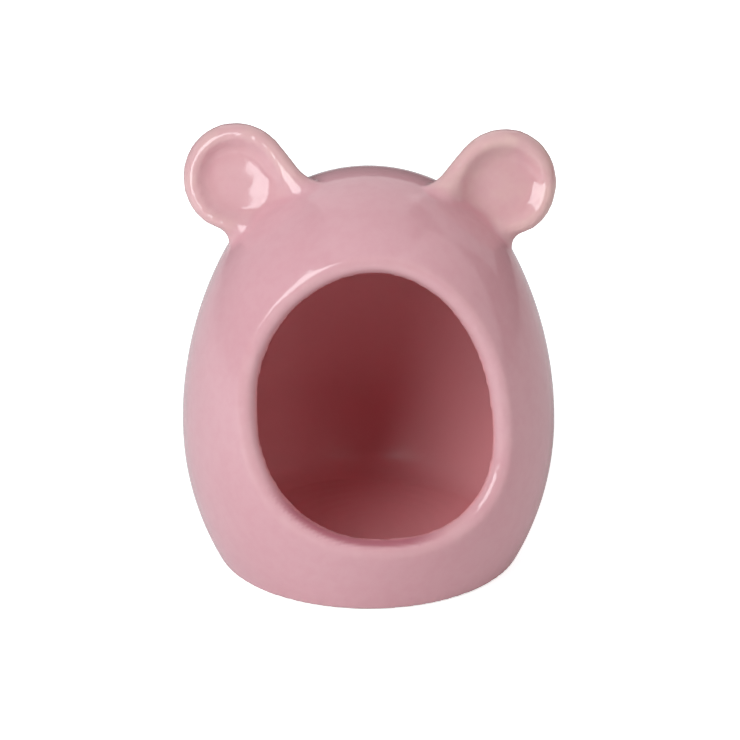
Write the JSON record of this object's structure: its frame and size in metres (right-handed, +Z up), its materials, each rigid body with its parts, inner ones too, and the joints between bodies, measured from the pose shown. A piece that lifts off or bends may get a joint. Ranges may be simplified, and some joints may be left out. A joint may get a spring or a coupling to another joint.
{
  "type": "ceramic hamster house",
  "caption": "Egg-shaped hollow pet house of glazed ceramic with a wide rounded doorway and dished ears",
  "frame": {"origin": "middle of the foot ring, on the plane it stands on", "axes": "+Z up, the doorway faces -Y, the animal's own left and right ears lie along +X and -X"},
  "size_m": [0.1, 0.0977, 0.1197],
  "materials": {
    "glaze": "gloss glaze"
  },
  "bodies": {
    "root": {"house": "glaze"}
  },
  "joints": []
}
